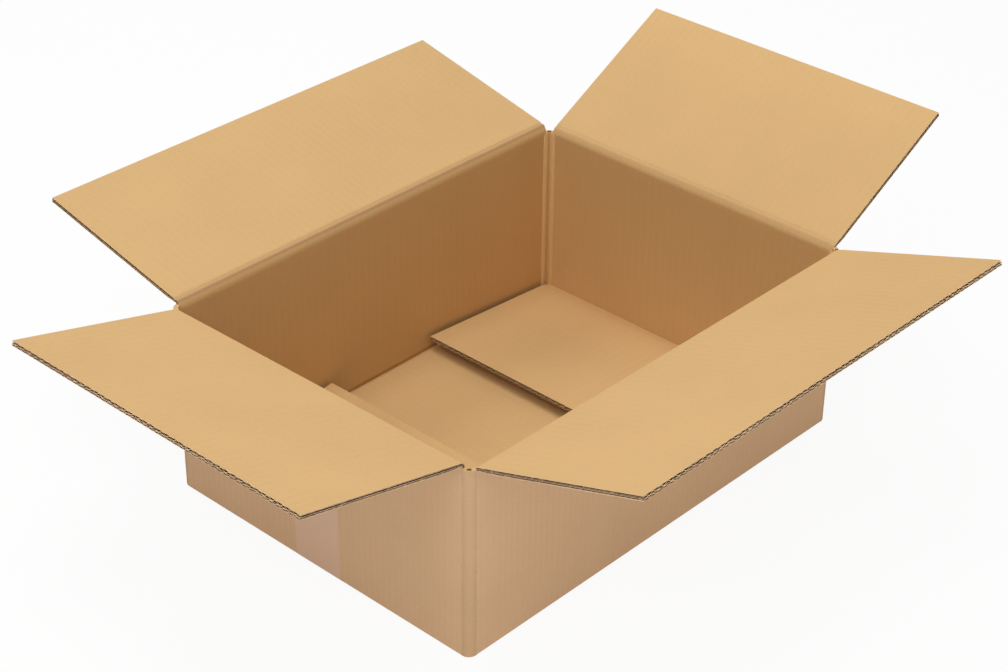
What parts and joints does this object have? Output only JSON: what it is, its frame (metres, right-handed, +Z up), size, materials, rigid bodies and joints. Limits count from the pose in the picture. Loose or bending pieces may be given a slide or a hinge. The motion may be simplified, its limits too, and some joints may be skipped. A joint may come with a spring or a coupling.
{
  "type": "double wall shipping box",
  "caption": "Open slotted shipping box folded from double wall corrugated board, with hinged top flaps that show the flutes at their edges and a taped floor.",
  "frame": {"origin": "on the ground under the middle of the box, on the underside of the sealing tape", "axes": "+X along the box's length towards the right end wall, +Y across it towards the back wall, +Z up"},
  "size_m": [0.7337, 0.6319, 0.2415],
  "materials": {
    "kraft_board": "matte kraft paper",
    "clear_tape": "clear glossy film"
  },
  "bodies": {
    "carton": {"carton_sheet": "kraft_board", "sealing_tape": "clear_tape"},
    "front": {"front_flap": "kraft_board"},
    "back": {"back_flap": "kraft_board"},
    "left": {"left_flap": "kraft_board"},
    "right": {"right_flap": "kraft_board"}
  },
  "joints": [
    {"name": "front_fold", "type": "hinge", "parent": "carton", "child": "front", "pos_m": [0, -0.161, 0.168], "axis": [1, 0, 0], "range_deg": [-161.5, 73.5]},
    {"name": "back_fold", "type": "hinge", "parent": "carton", "child": "back", "pos_m": [0, 0.161, 0.168], "axis": [-1, 0, 0], "range_deg": [-167.5, 67.5]},
    {"name": "left_fold", "type": "hinge", "parent": "carton", "child": "left", "pos_m": [-0.2211, 0, 0.1648], "axis": [0, -1, 0], "range_deg": [-164.5, 70.5]},
    {"name": "right_fold", "type": "hinge", "parent": "carton", "child": "right", "pos_m": [0.2211, 0, 0.1648], "axis": [0, 1, 0], "range_deg": [-152, 83]}
  ]
}
